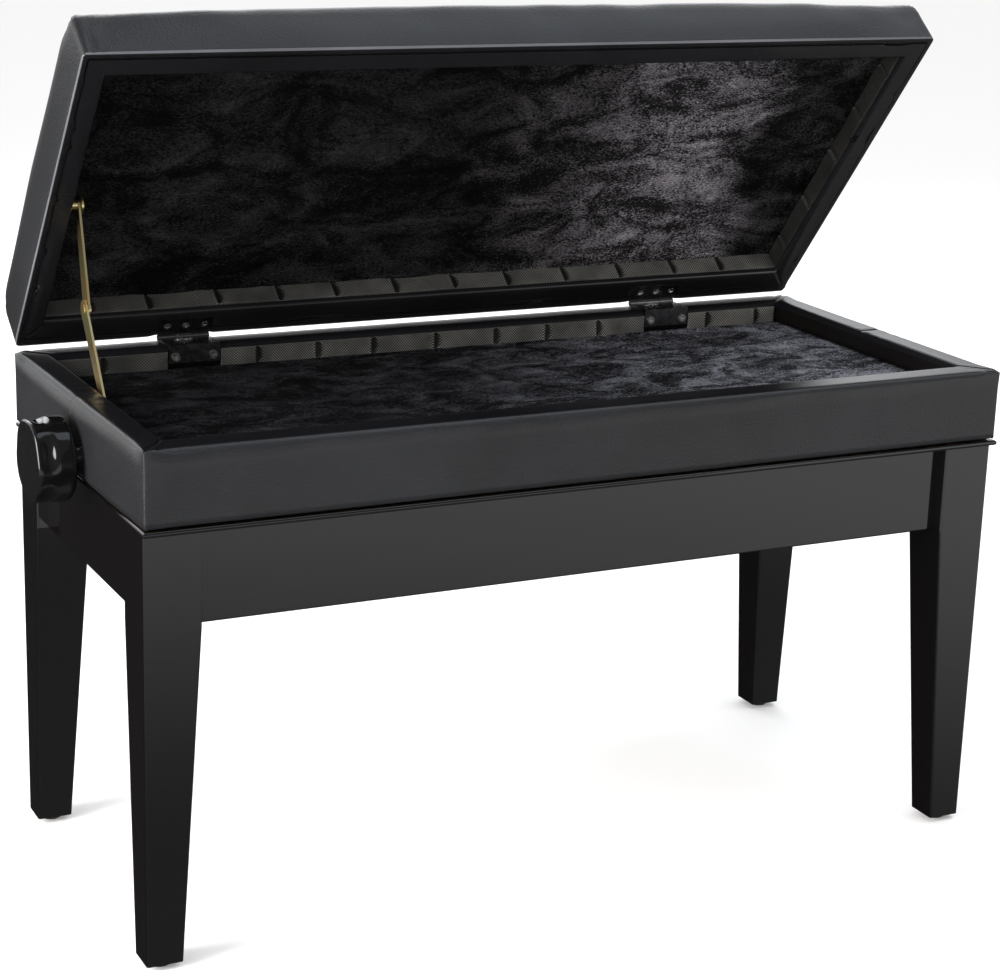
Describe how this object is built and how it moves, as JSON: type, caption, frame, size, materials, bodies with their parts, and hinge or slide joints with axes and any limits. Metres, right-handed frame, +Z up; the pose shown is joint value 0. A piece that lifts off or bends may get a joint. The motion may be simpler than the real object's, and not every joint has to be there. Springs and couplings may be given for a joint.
{
  "type": "piano bench",
  "caption": "Black duet piano bench on tapered legs, its padded lid propped open over a lined music compartment, with side knobs and a scissor lift for seat height.",
  "frame": {"origin": "on the floor, under the middle of the open bench's bounding box (between the two knobs in X, between the front moulding and the open lid's rear edge in Y)", "axes": "+X to the right as seen from the front, along the bench; +Y to the back, towards the lid hinges; +Z up"},
  "size_m": [0.836, 0.3765, 0.7094],
  "materials": {
    "lacquered_wood": "black high-gloss lacquer",
    "raw_wood": "sanded, unpainted",
    "vinyl": "black grained upholstery vinyl, satin",
    "foam": "upholstery foam",
    "velvet": "black crushed velvet",
    "webbing": "woven black tape",
    "felt": "felt",
    "steel": "zinc-plated steel",
    "dark_steel": "black painted steel",
    "hinge_steel": "burnished dark steel",
    "bright_screw": "nickel-plated",
    "brass_zinc": "yellow passivated",
    "glide": "matt",
    "knob": "polished black"
  },
  "bodies": {
    "base": {"leg_front_left": "lacquered_wood", "leg_front_right": "lacquered_wood", "leg_rear_left": "lacquered_wood", "leg_rear_right": "lacquered_wood", "foot_glides": "glide", "apron_front": "lacquered_wood", "apron_rear": "lacquered_wood", "apron_left": "lacquered_wood", "apron_right": "lacquered_wood", "top_moulding_front": "lacquered_wood", "top_moulding_rear": "lacquered_wood", "top_moulding_left": "lacquered_wood", "top_moulding_right": "lacquered_wood", "seat_rest_pads": "felt", "corner_blocks": "raw_wood", "leg_bolts": "steel", "leg_nuts": "steel", "lift_cross_bar_left": "dark_steel", "lift_cross_bar_right": "dark_steel", "cross_bar_screws": "steel", "lift_lower_rail_front": "dark_steel", "lift_lower_rail_rear": "dark_steel"},
    "seat_box": {"box_front_board": "raw_wood", "box_rear_board": "raw_wood", "box_left_board": "raw_wood", "box_right_board": "raw_wood", "box_floor_panel": "raw_wood", "box_floor_lining": "velvet", "box_webbing_strip": "webbing", "box_vinyl_cover": "vinyl", "lift_upper_rail_front": "dark_steel", "lift_upper_rail_rear": "dark_steel", "upper_pivot_pins": "steel", "spindle_bushes": "dark_steel", "hinge_box_leaves": "hinge_steel", "hinge_box_screws": "bright_screw", "hinge_pins": "steel", "stay_lower_bracket": "brass_zinc"},
    "spindle": {"lift_spindle": "steel", "knob_left": "knob", "knob_right": "knob"},
    "nut": {"spindle_nut": "steel"},
    "outer_arms": {"scissor_outer_arm_front": "dark_steel", "scissor_outer_arm_rear": "dark_steel", "lower_pivot_rod": "steel", "scissor_centre_pins": "steel"},
    "inner_arms": {"scissor_inner_arm_front": "dark_steel", "scissor_inner_arm_rear": "dark_steel", "lower_slide_rod": "steel"},
    "lid": {"lid_frame": "raw_wood", "lid_panel": "raw_wood", "lid_foam": "foam", "lid_vinyl_cover": "vinyl", "lid_lining": "velvet", "lid_webbing_strip": "webbing", "hinge_lid_leaves": "hinge_steel", "hinge_lid_screws": "bright_screw", "stay_upper_bracket": "brass_zinc"},
    "stay_upper": {"stay_upper_arm": "brass_zinc"},
    "stay_lower": {"stay_lower_arm": "brass_zinc"}
  },
  "joints": [
    {"name": "seat_lift", "type": "slide", "parent": "base", "child": "seat_box", "axis": [0, 0, 1], "range_m": [0, 0.085]},
    {"name": "knob_turn", "type": "hinge", "parent": "seat_box", "child": "spindle", "pos_m": [0, -0.0178, 0.368], "axis": [1, 0, 0], "range_deg": [0, 3521.3]},
    {"name": "nut_slide", "type": "slide", "parent": "seat_box", "child": "nut", "axis": [-1, 0, 0], "range_m": [0, 0.0296]},
    {"name": "outer_arm_pivot", "type": "hinge", "parent": "base", "child": "outer_arms", "pos_m": [-0.176, -0.0178, 0.294], "axis": [0, -1, 0], "range_deg": [0, 14.4]},
    {"name": "inner_arm_pivot", "type": "hinge", "parent": "seat_box", "child": "inner_arms", "pos_m": [-0.176, -0.0178, 0.368], "axis": [0, 1, 0], "range_deg": [0, 14.4]},
    {"name": "lid_hinge", "type": "hinge", "parent": "seat_box", "child": "lid", "pos_m": [0, 0.1552, 0.4168], "axis": [1, 0, 0], "range_deg": [0, 51.4]},
    {"name": "stay_upper_pivot", "type": "hinge", "parent": "lid", "child": "stay_upper", "pos_m": [-0.3505, 0.0642, 0.5513], "axis": [1, 0, 0], "range_deg": [0, 46.9]},
    {"name": "stay_lower_pivot", "type": "hinge", "parent": "seat_box", "child": "stay_lower", "pos_m": [-0.3527, -0.0042, 0.4041], "axis": [-1, 0, 0], "range_deg": [0, 42.3]}
  ],
  "couplings": [
    {"joint": "knob_turn", "follows": "seat_lift", "rad_per_m": 722.64},
    {"joint": "nut_slide", "follows": "seat_lift", "ratio": 0.34503},
    {"joint": "outer_arm_pivot", "follows": "seat_lift", "rad_per_m": 2.9462},
    {"joint": "inner_arm_pivot", "follows": "seat_lift", "rad_per_m": 2.9462},
    {"joint": "stay_upper_pivot", "follows": "lid_hinge", "ratio": 0.91051},
    {"joint": "stay_lower_pivot", "follows": "lid_hinge", "ratio": 0.82159}
  ]
}
